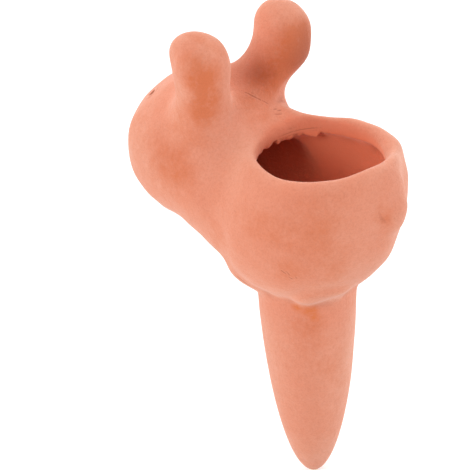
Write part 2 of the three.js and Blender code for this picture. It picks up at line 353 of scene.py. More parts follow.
@dataclass
class Lump:
    """The luted solids, kneaded into one surface that remembers its pieces."""

    voxel: float = 0.66 * MM
    quick_voxel: float = 1.1 * MM
    slip: float = 0.2 * MM
    weld: float = 0.001 * MM
    names: list[str] = field(default_factory=lambda: sorted(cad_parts))

    def __post_init__(self) -> None:
        """Indexes the faces of the solids by the piece that they belong to."""
        corners: list[Vector] = []
        faces: list[tuple[int, ...]] = []
        owners: list[int] = []
        for number, name in enumerate(self.names):
            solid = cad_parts[name].data
            first = len(corners)
            corners.extend(v.co.copy() for v in solid.vertices)
            faces.extend(tuple(first + i for i in p.vertices) for p in solid.polygons)
            owners.extend([number] * len(solid.polygons))
        self.tree = BVHTree.FromPolygons(corners, faces)
        self._owners = np.array(owners)

    def fineness(self) -> float:
        """The size of the voxels that the finished skin is made of."""
        return self.voxel

    def owner(self, points: np.ndarray) -> np.ndarray:
        """The piece nearest to each point.

        Args:
            points: places, one row each.

        Returns:
            The number of the nearest piece in names.
        """
        found = [self.tree.find_nearest(Vector(p))[2] for p in points]
        return self._owners[np.array(found)]

    def heap(self) -> bmesh.types.BMesh:
        """Coats each solid with slip, so that it touches its neighbours.

        Returns:
            All the coated solids as one set of closed forms.
        """
        whole = bmesh.new()
        coated = bpy.data.meshes.new("coated_solid")
        for name in self.names:
            work = bmesh.new()
            work.from_mesh(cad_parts[name].data)
            bmesh.ops.remove_doubles(work, verts=work.verts, dist=self.weld)
            work.normal_update()
            for vert in work.verts:
                vert.co += vert.normal * self.slip
            work.to_mesh(coated)
            work.free()
            whole.from_mesh(coated)
        bpy.data.meshes.remove(coated)
        return whole

    def knead(self, forms: bmesh.types.BMesh, voxel: float) -> ClaySkin:
        """Joins closed forms into one skin.

        Args:
            forms: the forms, which are used up.
            voxel: how fine the skin is.

        Returns:
            The skin around all the forms.
        """
        blank = bpy.data.meshes.new("clay_blank")
        forms.to_mesh(blank)
        forms.free()
        holder = bpy.data.objects.new("clay_blank", blank)
        bpy.context.scene.collection.objects.link(holder)
        remesh = holder.modifiers.new("knead", "REMESH")
        remesh.mode = "VOXEL"
        remesh.voxel_size = voxel
        bpy.context.view_layer.update()
        kneaded = holder.evaluated_get(bpy.context.evaluated_depsgraph_get())
        mesh = bpy.data.meshes.new_from_object(kneaded)
        bpy.data.objects.remove(holder)
        bpy.data.meshes.remove(blank)
        return ClaySkin(mesh)


@dataclass
class Luting:
    """The joints, and how each was worked over with wet clay."""

    thumbing: dict[Joint, Thumbing] = field(
        default_factory=lambda: {
            Joint.NECK: Thumbing(34 * MM, 1.0),
            Joint.EAR: Thumbing(17 * MM, 1.0),
            Joint.FOOT: Thumbing(5 * MM, 0.05),
            Joint.TAIL: Thumbing(5 * MM, 0.04),
        }
    )
    ear_strength: float = 0.5
    voxel: float = 1.3 * MM
    presses: int = 900
    fine_presses: int = 60
    crevice: float = 0.35 * MM
    tuck: float = 0.15 * MM
    low_end: float = 9.0 * MM
    low_start: float = 22.0 * MM
    hollows: tuple[Place, ...] = ((0, 2, 30), (-5, -29, 34), (-7, -46, 42), (0, 0, -15))
    sight: float = 1.5 * MM
    sight_reach: float = 34.0 * MM

    def fillets(self, lump: Lump) -> ClaySkin:
        """The lump with slip pressed into its joints.

        Args:
            lump: the pieces.

        Returns:
            A coarse skin that stands out of the solids only where slip was added.
        """
        rough = lump.knead(lump.heap(), self.voxel)
        rough.fill(self.weights(rough, lump), self.presses)
        rough.push(-self.tuck)
        rough.store()
        return rough

    def join(self, lump: Lump, plugs: bpy.types.Mesh) -> ClaySkin:
        """Joins the pieces, their fillets and the plugs of the face into one skin.

        Args:
            lump: the pieces.
            plugs: closed forms that fill the solid's face.

        Returns:
            The fine skin.
        """
        forms = lump.heap()
        forms.from_mesh(self.fillets(lump).mesh)
        forms.from_mesh(plugs)
        skin = lump.knead(forms, lump.fineness())
        skin.push(self.crevice)
        skin.store()
        swollen = bmesh.new()
        swollen.from_mesh(skin.mesh)
        skin = lump.knead(swollen, lump.fineness())
        skin.push(-self.crevice)
        skin.fill(self.weights(skin, lump), self.fine_presses)
        return skin

    def weights(self, skin: ClaySkin, lump: Lump) -> np.ndarray:
        """How much slip each point takes.

        Args:
            skin: the clay.
            lump: the pieces under it.

        Returns:
            A weight from 0 to 1 for each point.
        """
        owner = lump.owner(skin.points)
        weight = np.zeros(len(skin.points))
        ends = owner[skin.edges]
        for joint, work in self.thumbing.items():
            pressed = np.isin(owner, [lump.names.index(name) for name in joint.value])
            across = (pressed[skin.edges[:, 0]] != pressed[skin.edges[:, 1]]) & (ends[:, 0] != ends[:, 1])
            seam = np.unique(skin.edges[across])
            tree = KDTree(len(seam))
            for number, point in enumerate(seam):
                tree.insert(skin.points[point], number)
            tree.balance()
            away = np.array([tree.find(p)[2] for p in skin.points])
            weight = np.maximum(weight, work.strength * (1.0 - ramp(away, 0.3 * work.reach, work.reach)))
            if joint is Joint.EAR:
                weight = np.maximum(weight, self.ear_strength * pressed)
        weight *= ramp(skin.points[:, 2], self.low_end, self.low_start)
        worked = np.flatnonzero(weight)
        weight[worked] *= self.outside(skin.points[worked], lump)
        return weight

    def outside(self, points: np.ndarray, lump: Lump) -> np.ndarray:
        """True for each point that no hollow's middle can see, where a thumb can reach.

        Args:
            points: places on the clay, one row each.
            lump: the pieces.

        Returns:
            One truth value for each place.
        """
        hidden = np.ones(len(points), bool)
        for hollow in self.hollows:
            middle = Vector(hollow) * MM
            close = np.linalg.norm(points - np.array(middle), axis=1) < self.sight_reach
            for number in np.flatnonzero(hidden & close):
                way = Vector(points[number]) - middle
                reach = max(way.length - self.sight, self.sight)
                hidden[number] = lump.tree.ray_cast(middle, way, reach)[2] is not None
        return hidden


@dataclass
class Hands:
    """The unevenness that hands leave all over the clay."""

    palm_wave: float = 25 * MM
    palm_depth: float = 0.22 * MM
    finger_wave: float = 10 * MM
    finger_depth: float = 0.08 * MM
    wipes: int = 40
    turned_span: tuple[float, float] = (-16 * MM, 10 * MM)
    firing_wave: float = 36 * MM
    firing_strength: float = 0.35
    inside_spread: int = 12
    inside_rim_fade: float = 0.45
    contact_height: float = 1.5 * MM
    contact_reach: float = 2.5 * MM
    contact_shade: float = 0.75
    contact_bend: tuple[float, float] = (40.0, 220.0)
    contact_spread: int = 4
    highlight_strength: float = 0.4
    highlight_bend: tuple[float, float] = (45.0, 150.0)
    crease_shade: float = 0.5
    crease_bend: tuple[float, float] = (25.0, 160.0)
    bend_spread: int = 10
    firing_span: tuple[float, float] = (0.4, 1.6)
    rim_span: tuple[float, float] = (49.5 * MM, 53 * MM)

    def build(self, skin: ClaySkin, pliant: np.ndarray) -> None:
        """Wipes the clay smooth and leaves the press of palms and fingers on it.

        Args:
            skin: the clay.
            pliant: from 0 to 1 for each point, how far it gives way.
        """
        skin.smooth(pliant, self.wipes)
        palms = self.palm_depth * ripple(skin.points, self.palm_wave, 1)
        fingers = self.finger_depth * ripple(skin.points, self.finger_wave, 2)
        skin.push((palms + fingers) * ramp(skin.points[:, 2], *self.turned_span))

    def dress(self, skin: ClaySkin, luting: Luting, lump: Lump) -> None:
        """Paints highlight on the convex edges, shade in the creases and along the feet's contact line, the
        uneven firing, and a redder painted bounce light inside.

        Args:
            skin: the clay.
            luting: knows where a thumb can reach.
            lump: the pieces under the clay.
        """
        bend = skin.roundness(self.bend_spread)
        # Painted highlight on convex edges.
        skin.paint(Mark.BLOOM, self.highlight_strength * ramp(bend, *self.highlight_bend))
        skin.paint(Mark.CREASE, self.crease_shade * ramp(-bend, *self.crease_bend))
        level = np.abs(skin.points[:, 2] - self.contact_height)
        contact = 1.0 - ramp(level, self.contact_reach, 2.0 * self.contact_reach)
        tight = ramp(-skin.roundness(self.contact_spread), *self.contact_bend)
        skin.paint(Mark.CREASE, self.contact_shade * contact * tight)
        uneven = ripple(skin.points, self.firing_wave, 3)
        skin.paint(Mark.BLUSH, self.firing_strength * ramp(uneven, *self.firing_span))
        # Painted bounce light: a redder tint inside, fading towards the rim.
        inside = skin.spread(1.0 - luting.outside(skin.points, lump), self.inside_spread)
        skin.paint(Mark.RAW, inside * (1.0 - self.inside_rim_fade * ramp(skin.points[:, 2], *self.rim_span)))


@dataclass(frozen=True)
class Burr:
    """A rag of clay on the torn lip, by its angle about the mouth, its half width and its length."""

    angle: float
    width: float
    hang: float


@dataclass
class BowlClay:
    """The bowl: its mouth with a torn inner lip, and the flats that fingers left on it."""

    mouth_radius: float = 22.4 * MM
    lip_height: float = 49.4 * MM
    lip_setback: float = 6.65 * MM
    crisp_reach: float = 3.0 * MM
    crisp_give: float = 0.12
    tear_reach: float = 2.2 * MM
    tear_start: float = -163.0
    tear_end: float = -64.0
    tear_fade: float = 6.0
    tear_inward: float = 0.4
    tear_fall: float = 0.85
    tear_depth: float = 0.07 * MM
    tear_length: float = 2.4 * MM
    burrs: tuple[Burr, ...] = (
        Burr(-80.0, 1.0, 0.3),
        Burr(-87.0, 0.9, -0.35),
        Burr(-94.0, 1.1, 0.4),
        Burr(-102.0, 1.1, -1.1),
        Burr(-107.5, 1.0, 0.35),
        Burr(-114.0, 1.2, -0.3),
        Burr(-120.0, 0.9, 0.3),
        Burr(-127.0, 1.4, -0.5),
        Burr(-134.0, 1.2, -0.3),
        Burr(-139.0, 1.0, 0.5),
        Burr(-144.5, 1.3, 1.3),
        Burr(-151.0, 1.0, -0.4),
    )
    flats: tuple[Spot, ...] = (
        Spot((1.5, 34, 22), 8, -0.9),
        Spot((-13, 33, 52), 9, 1.5),
        Spot((30, 12, 24), 10, 0.4),
        Spot((-31, 4, 24), 11, 0.4),
    )
    crests: tuple[Spot, ...] = (
        Spot((-17, -10, 56), 7.5, 2.8),
        Spot((-18, -17, 57), 5, 1.8),
        Spot((-5, 30, 55), 8, 1.3),
        Spot((8, 31.5, 55), 9, 1.9),
        Spot((29, 6, 54.5), 8, -1.3),
        Spot((22, 22, 55), 6, 0.5),
    )
    # Painted highlights on the right of the rim and on the saddle between the head and the mouth.
    painted_highlights: tuple[Spot, ...] = (
        Spot((-12, 33, 54), 9, 1.0),
        Spot((9, -22, 55.5), 11, 1.0),
    )
    blush_and_shade_spots: tuple[Spot, ...] = (
        Spot((27, 23, 45), 11, 0.3),
        Spot((28, 20, 35), 9, 0.25),
        Spot((31, 11, 22), 6, 0.45),
        Spot((-30, 14, 34), 10, 0.5),
        Spot((23.5, 24.5, 22.5), 8, 0.35),
    )

    def lip_distance(self, points: np.ndarray) -> np.ndarray:
        """How far each point is from the inner edge of the mouth.

        Args:
            points: places, one row each.

        Returns:
            One distance for each place.
        """
        centred = points - np.array([0.0, self.lip_setback, self.lip_height])
        out = np.hypot(centred[:, 0], centred[:, 1]) - self.mouth_radius
        return np.hypot(out, centred[:, 2])

    def pliant(self, points: np.ndarray) -> np.ndarray:
        """How far each point gives way to wiping: the inner edge of the mouth stays crisp.

        Args:
            points: places, one row each.

        Returns:
            A weight from 0 to 1 for each place.
        """
        apart = ramp(self.lip_distance(points), 0.4 * self.crisp_reach, self.crisp_reach)
        return self.crisp_give + (1.0 - self.crisp_give) * apart

    def build(self, skin: ClaySkin) -> None:
        """Presses the finger flats into the bowl and tears its lip.

        Args:
            skin: the clay.
        """
        skin.push(-MM * weigh(self.flats, skin.points))
        upward = ramp(skin.normals()[:, 2], 0.1, 0.7)
        skin.points[:, 2] += MM * upward * weigh(self.crests, skin.points)
        skin.refine(self.lip_distance(skin.points) < 1.5 * self.tear_reach)
        self.tear(skin)

    def tear(self, skin: ClaySkin) -> None:
        """Tears the inner edge of the mouth where the wet clay dragged.

        Args:
            skin: the clay.
        """
        centred = skin.points - np.array([0.0, self.lip_setback, 0.0])
        angle = np.degrees(np.arctan2(centred[:, 1], centred[:, 0]))
        window = ramp(angle, self.tear_start, self.tear_start + self.tear_fade)
        window *= 1.0 - ramp(angle, self.tear_end - self.tear_fade, self.tear_end)
        ring = np.radians(angle)[:, None] * self.mouth_radius
        hang = self.tear_depth * window * ripple(ring, self.tear_length, 5)
        for burr in self.burrs:
            apart = (angle - burr.angle + 180.0) % 360.0 - 180.0
            along = np.radians(apart) * self.mouth_radius / (burr.width * MM)
            hang += burr.hang * MM * np.exp(-along * along)
        near = 1.0 - ramp(self.lip_distance(skin.points), 0.25 * self.tear_reach, self.tear_reach)
        inward = -centred * np.array([1.0, 1.0, 0.0])
        inward /= np.linalg.norm(inward, axis=1)[:, None] + MM * MM
        way = self.tear_inward * inward + np.array([0.0, 0.0, -self.tear_fall])
        skin.points += (hang * near)[:, None] * way
        skin.smooth(near, 3)

    def dress(self, skin: ClaySkin) -> None:
        """Marks where the kiln fired the bowl more orange, and paints highlights on the right of the rim and
        on the saddle between the head and the mouth.

        Args:
            skin: the clay.
        """
        skin.paint(Mark.BLUSH, weigh(self.blush_and_shade_spots, skin.points))
        skin.paint(Mark.BLOOM, weigh(self.painted_highlights, skin.points))


@dataclass
class HeadClay:
    """The head: an egg with two poked eyes and a cut mouth."""

    turn: float = 9.0
    reach: float = 47.6 * MM
    height: float = 42.0 * MM
    eye_spread: float = 39.0
    eye_rise: float = 46.5
    eye_radius: float = 1.55 * MM
    eye_depth: float = 3.6 * MM
    eye_burr: float = 0.15 * MM
    eye_rag: float = 0.08
    pit_edge: tuple[float, float] = (0.55, 1.08)
    dark_edge: tuple[float, float] = (0.65, 1.1)
    burr_place: float = 1.45
    burr_reach: float = 0.4
    lip_drop: float = 9.5
    lip_width: float = 11.0 * MM
    lip_height: float = 1.1 * MM
    lip_depth: float = 2.2 * MM
    lip_smile: float = 0.8 * MM
    plug_depth: float = 0.4 * MM
    plug_lean: float = 0.14
    eye_plug: float = 1.8
    lip_plug: tuple[float, float] = (0.62, 2.2)
    fine_reach: float = 8.0 * MM
    flats: tuple[Spot, ...] = (
        Spot((1, -64.7, 62.7), 10, 1.7),
        Spot((24, -28, 22), 10, 1.3),
    )
    blush_and_shade_spots: tuple[Spot, ...] = (
        Spot((20, -42, 52), 9, 0.34),
        Spot((23, -37, 43), 10, 0.36),
        Spot((22, -49, 43), 9, 0.26),
        Spot((-24, -42, 60), 6, 0.6),
        Spot((-20, -62, 38), 8, 0.4),
        # This spot on the nape stands in for shade there.
        Spot((-5, -25.5, 61), 8, 0.62),
    )
    # Painted highlights on the cheek and below the left ear.
    painted_highlights: tuple[Spot, ...] = (
        Spot((16.5, -63, 49.5), 9, 0.7),
        Spot((22, -37, 77), 5, 0.6),
    )
    # Painted shade in the head's hollow.
    hollow_shade: Spot = Spot((-4, -32, 34), 22, 1.0)
    _dark: np.ndarray = field(init=False, repr=False)

    def aim(self, spread: float, rise: float) -> Vector:
        """A direction out from the middle of the head.

        Args:
            spread: degrees to the animal's left of straight ahead.
            rise: degrees above level.

        Returns:
            The direction, of unit length.
        """
        flat = math.radians(spread - self.turn)
        up = math.radians(rise)
        return Vector((math.sin(flat) * math.cos(up), -math.cos(flat) * math.cos(up), math.sin(up)))

    def middle(self) -> Vector:
        """Places the middle of the head.

        Returns:
            The middle of its egg.
        """
        flat = math.radians(-self.turn)
        return Vector((math.sin(flat) * self.reach, -math.cos(flat) * self.reach, self.height))

    def eyes(self) -> list[Vector]:
        """The directions of the two eyes from the middle of the head."""
        return [self.aim(side * self.eye_spread, self.eye_rise) for side in (1.0, -1.0)]

    def lip(self) -> Vector:
        """The direction of the mouth from the middle of the head."""
        return self.aim(0.0, -self.lip_drop)

    def surface(self, tree: BVHTree, way: Vector) -> tuple[Vector, Vector]:
        """Where a direction from the middle of the head leaves the clay.

        Args:
            tree: the search tree of the clay or of its solid.
            way: the direction.

        Returns:
            The place, and the direction that the clay faces there.
        """
        start = self.middle() + way * (2.0 * self.reach)
        place, facing, _, _ = tree.ray_cast(start, -way)
        return place, facing

    def plugs(self, tree: BVHTree) -> bpy.types.Mesh:
        """Plugs for the solid's coarse face, so that a finer one can be cut into the skin.

        Args:
            tree: the search tree of the solids.

        Returns:
            The plugs as closed forms.
        """
        work = bmesh.new()
        eye = self.eye_plug * self.eye_radius
        wider, taller = self.lip_plug
        sizes = [(way, eye, eye) for way in self.eyes()]
        sizes.append((self.lip(), wider * self.lip_width, taller * self.lip_height))
        thick = self.eye_depth
        for way, wide, tall in sizes:
            rim = [way + Vector((0.0, 0.0, lean)) for lean in (self.plug_lean, -self.plug_lean)]
            level = min((self.surface(tree, edge)[0] - self.middle()).dot(way) for edge in rim)
            place = self.middle() + way * (level - self.plug_depth - 0.5 * thick)
            across = Vector((0.0, 0.0, 1.0)).cross(way).normalized()
            axes = Matrix((across * wide, way.cross(across) * tall, way * thick)).transposed().to_4x4()
            made = bmesh.ops.create_cone(
                work, cap_ends=True, segments=24, radius1=1.0, radius2=1.0, depth=1.0
            )
            bmesh.ops.transform(work, verts=made["verts"], matrix=Matrix.Translation(place) @ axes)
        bmesh.ops.recalc_face_normals(work, faces=work.faces)
        mesh = bpy.data.meshes.new("face_plugs")
        work.to_mesh(mesh)
        work.free()
        return mesh

    def face_region(self, skin: ClaySkin) -> np.ndarray:
        """Finds the clay beside the eyes and the mouth.

        Args:
            skin: the clay.

        Returns:
            True for each point there.
        """
        tree = skin.tree()
        region = np.zeros(len(skin.points), bool)
        for way in self.eyes() + [self.lip()]:
            place, _ = self.surface(tree, way)
            region |= np.linalg.norm(skin.points - np.array(place), axis=1) < self.fine_reach
        return region

    def build(self, skin: ClaySkin) -> None:
        """Pokes the eyes, with the burr that the tool raised, and cuts the mouth.

        Args:
            skin: the clay.
        """
        skin.push(-MM * weigh(self.flats, skin.points))
        for _ in range(2):
            skin.refine(self.face_region(skin))
        tree = skin.tree()
        self._dark = np.zeros(len(skin.points))
        for number, way in enumerate(self.eyes()):
            right, above, outer, facing = self.chart(skin, tree, way)
            ragged = 1.0 + self.eye_rag * np.sin(3.0 * np.arctan2(above, right) + number)
            away = np.hypot(right, above) / (self.eye_radius * ragged)
            self.poke(skin, away, outer, facing, self.eye_depth, self.eye_burr)
        right, above, outer, facing = self.chart(skin, tree, self.lip())
        curve = self.lip_smile * (right / (0.5 * self.lip_width)) ** 2
        past = np.maximum(np.abs(right) - 0.5 * self.lip_width, 0.0)
        away = np.hypot(past, above - curve) / (0.5 * self.lip_height)
        self.poke(skin, away, outer, facing, self.lip_depth, 0.5 * self.eye_burr)

    def chart(
        self, skin: ClaySkin, tree: BVHTree, way: Vector
    ) -> tuple[np.ndarray, np.ndarray, np.ndarray, Vector]:
        """Measures the clay from the place where a direction leaves the head.

        Args:
            skin: the clay.
            tree: the search tree of the clay before the face was made.
            way: the direction.

        Returns:
            How far each point is to the right of the place and above it, whether it lies on the outside
            of the head, and the direction that the clay faces there.
        """
        place, facing = self.surface(tree, way)
        across = Vector((0.0, 0.0, 1.0)).cross(facing).normalized()
        offset = skin.points - np.array(place)
        outer = offset @ np.array(facing) > -2.5 * self.eye_depth
        return offset @ np.array(across), offset @ np.array(facing.cross(across)), outer, facing

    def poke(
        self, skin: ClaySkin, away: np.ndarray, outer: np.ndarray, facing: Vector, depth: float, burr: float
    ) -> None:
        """Sinks a pit into the clay, with the burr that the tool raised round it.

        Args:
            skin: the clay.
            away: how far each point is from the pit's middle, where 1 is its edge.
            outer: whether each point lies on the outside of the head.
            facing: the direction that the clay faces there.
            depth: how deep the pit is.
            burr: how high the burr stands.
        """
        pit = (1.0 - ramp(away, *self.pit_edge)) * outer
        ring = np.exp(-(((away - self.burr_place) / self.burr_reach) ** 2)) * outer
        skin.points += (burr * ring - depth * pit)[:, None] * np.array(facing)
        self._dark = np.maximum(self._dark, (1.0 - ramp(away, *self.dark_edge)) * outer)

    def dress(self, skin: ClaySkin) -> None:
        """Paints shade in the face's pits and in the head's hollow, highlights on the cheek and below the
        left ear, and marks the uneven firing of the head, with painted shade on the nape.

        Args:
            skin: the clay.
        """
        skin.paint(Mark.PIT, self._dark)
        skin.paint(Mark.CREASE, skin.marks[Mark.RAW] * self.hollow_shade.weigh(skin.points))
        skin.paint(Mark.BLOOM, weigh(self.painted_highlights, skin.points))
        skin.paint(Mark.BLUSH, weigh(self.blush_and_shade_spots, skin.points))


@dataclass
class EarClay:
    """The ears: pinched stems that the kiln fired more orange down their backs."""

    dents: tuple[Spot, ...] = (
        Spot((21, -27, 72), 6, 0.35),
        Spot((-20, -20, 73), 6, 0.35),
        Spot((24, -36, 80), 5, 0.3),
        Spot((-25, -30, 78), 5, 0.3),
        Spot((-22.5, -21, 61.5), 6.5, 1.5),
        Spot((21, -40.3, 87.5), 5, 1.6),
        Spot((-27, -15, 76), 7, -1.8),
    )
    blush_and_shade_spots: tuple[Spot, ...] = (
        Spot((22, -30, 86), 7, 0.45),
        Spot((20.5, -25.5, 77), 5.5, 0.75),
        Spot((20, -27, 68), 8, 0.85),
        # The spots on the right ear's outer side also stand in for shade there.
        Spot((-14, -24, 69), 7, 0.8),
        Spot((-19, -17, 75), 7, 0.85),
        Spot((-24, -15, 84), 8, 0.75),
        Spot((-26, -15.5, 78), 9, 0.9),
        Spot((21, -26, 86), 6, 0.6),
    )
    # Painted shadow of the left ear on the base of the right one, and painted shade down the right one's
    # outer side.
    shades: tuple[Spot, ...] = (
        Spot((-12.3, -31, 71.5), 4, 0.2),
        Spot((-13.1, -26.7, 71.9), 4.5, 0.33),
        Spot((-15, -22.5, 71.5), 4, 0.2),
        Spot((-28, -15, 77), 9, 0.5),
        Spot((-22, -16, 75), 6, 0.3),
        Spot((-27, -16, 84), 6, 0.25),
    )

    def build(self, skin: ClaySkin) -> None:
        """Presses the thumb dents into the stems.

        Args:
            skin: the clay.
        """
        skin.push(-MM * weigh(self.dents, skin.points))

    def dress(self, skin: ClaySkin) -> None:
        """Marks where the kiln fired the ears more orange, and paints the left ear's shadow on the base of
        the right one and shade down the right one's outer side.

        Args:
            skin: the clay.
        """
        skin.paint(Mark.BLUSH, weigh(self.blush_and_shade_spots, skin.points))
        skin.paint(Mark.CREASE, weigh(self.shades, skin.points))


@dataclass
class SpikeClay:
    """The spike: scraped down its length, and stained where water runs off the feet."""

    top: float = 0.0
    scrapes: int = 11
    scrape_depth: float = 0.06 * MM
    scrape_fade: float = 6 * MM
    scrape_level: float = 0.6
    drift_wave: float = 50 * MM
    drift_turn: float = 0.4
    stain_fade: float = 1.5 * MM
    radius: float = 19.5 * MM
    stains: tuple[Spot, ...] = (
        Spot((17.4, 6.3, -0.8), 2.2, 0.85),
        Spot((15.2, 10.5, -2.5), 3.0, 0.9),
        Spot((14.3, 11.5, -6), 1.9, 0.75),
    )
    blush_and_shade_spots: tuple[Spot, ...] = (
        Spot((15, 9, -16), 8, 0.3),
        Spot((15, 10, -8), 7, 0.3),
        Spot((-12, -8, -30), 9, 0.4),
    )
    flats: tuple[Spot, ...] = (
        Spot((-10, 14, -8), 10, 0.5),
        Spot((-9.5, 13.5, -26), 12, 0.4),
    )
    # Painted highlights down the spike's edges and near its tip.
    painted_highlights: tuple[Spot, ...] = (
        Spot((-2, 17, -12), 8, 0.9),
        Spot((-1, 16.5, -26), 8, 0.9),
        Spot((0, 15.5, -40), 8, 0.9),
        Spot((15, -8, -16), 8, 0.5),
        Spot((15, -7, -30), 8, 0.6),
        Spot((13, -5, -44), 8, 0.6),
        Spot((4, 5, -72), 14, 0.9),
    )

    def build(self, skin: ClaySkin) -> None:
        """Scrapes shallow flats down the spike.

        Args:
            skin: the clay.
        """
        points = skin.points
        outer = ramp(-points[:, 2], self.top, self.top + self.scrape_fade)
        away = np.hypot(points[:, 0], points[:, 1])
        outer *= ramp(away, 0.0, 0.1 * self.radius)
        turn = np.arctan2(points[:, 1], points[:, 0])
        drift = self.drift_turn * ripple(points[:, 2:3], self.drift_wave, 7)
        flat = np.abs(np.sin(0.5 * self.scrapes * turn + drift))
        pressed = MM * weigh(self.flats, points)
        skin.push(self.scrape_depth * outer * (flat - self.scrape_level) - pressed)

    def dress(self, skin: ClaySkin) -> None:
        """Marks the stains under the feet and the uneven firing of the spike, and paints highlights down its
        edges.

        Args:
            skin: the clay.
        """
        below = ramp(-skin.points[:, 2], -self.stain_fade, 0.0)
        skin.paint(Mark.STAIN, below * weigh(self.stains, skin.points))
        skin.paint(Mark.BLUSH, weigh(self.blush_and_shade_spots, skin.points))
        skin.paint(Mark.BLOOM, weigh(self.painted_highlights, skin.points))


@dataclass
class TailClay:
    """The tail: a pad of clay, thumbed on so that a soft hollow runs round its lower side."""

    dents: tuple[Spot, ...] = (
        Spot((1, 38.5, 44), 8.5, -1.0, 6.0),
        Spot((12.5, 34.3, 41), 4.5, 0.3),
        Spot((8.5, 35.3, 33.5), 4.5, 0.45),
    )
    # Painted shade on the pad's lower side.
    blush_and_shade_spots: tuple[Spot, ...] = (
        Spot((9, 37, 42), 4.2, 0.32),
        Spot((7.5, 37.6, 37.5), 3.8, 0.32),
    )

    def build(self, skin: ClaySkin) -> None:
        """Thumbs the pad out of the bowl and presses the hollow round it.

        Args:
            skin: the clay.
        """
        skin.push(-MM * weigh(self.dents, skin.points))

    def dress(self, skin: ClaySkin) -> None:
        """Paints shade on the lower side of the tail's pad, in the blush colour.

        Args:
            skin: the clay.
        """
        skin.paint(Mark.BLUSH, weigh(self.blush_and_shade_spots, skin.points))


@dataclass
class FootClay:
    """The feet: pads of clay, tucked up under the bowl, with a press above the one at the back."""

    lifts: tuple[Spot, ...] = (
        Spot((15, 17, 2), 7, 1.6),
        Spot((12, 22, 3.5), 6, 1.2),
        Spot((21, 6, 3), 7, 0.9),
        Spot((21.5, -8.5, 3), 6, 1.5),
    )
    dents: tuple[Spot, ...] = (
        Spot((22.5, 16, 10), 4, 0.5),
        Spot((19.5, 19.5, 10), 4, 0.4),
        Spot((20, 14.5, 4), 4.5, -0.8),
        Spot((15.5, 19.5, 4.5), 4, -0.5),
    )

    def build(self, skin: ClaySkin) -> None:
        """Tucks the feet up and presses the dents.

        Args:
            skin: the clay.
        """
        skin.points[:, 2] += MM * weigh(self.lifts, skin.points)
        skin.push(-MM * weigh(self.dents, skin.points))


@dataclass(frozen=True)
class Stroke:
    """A mark dragged through the wet clay, by the places that it passes in millimetres."""

    places: tuple[Place, ...]
    width: float
    depth: float
    shade: float


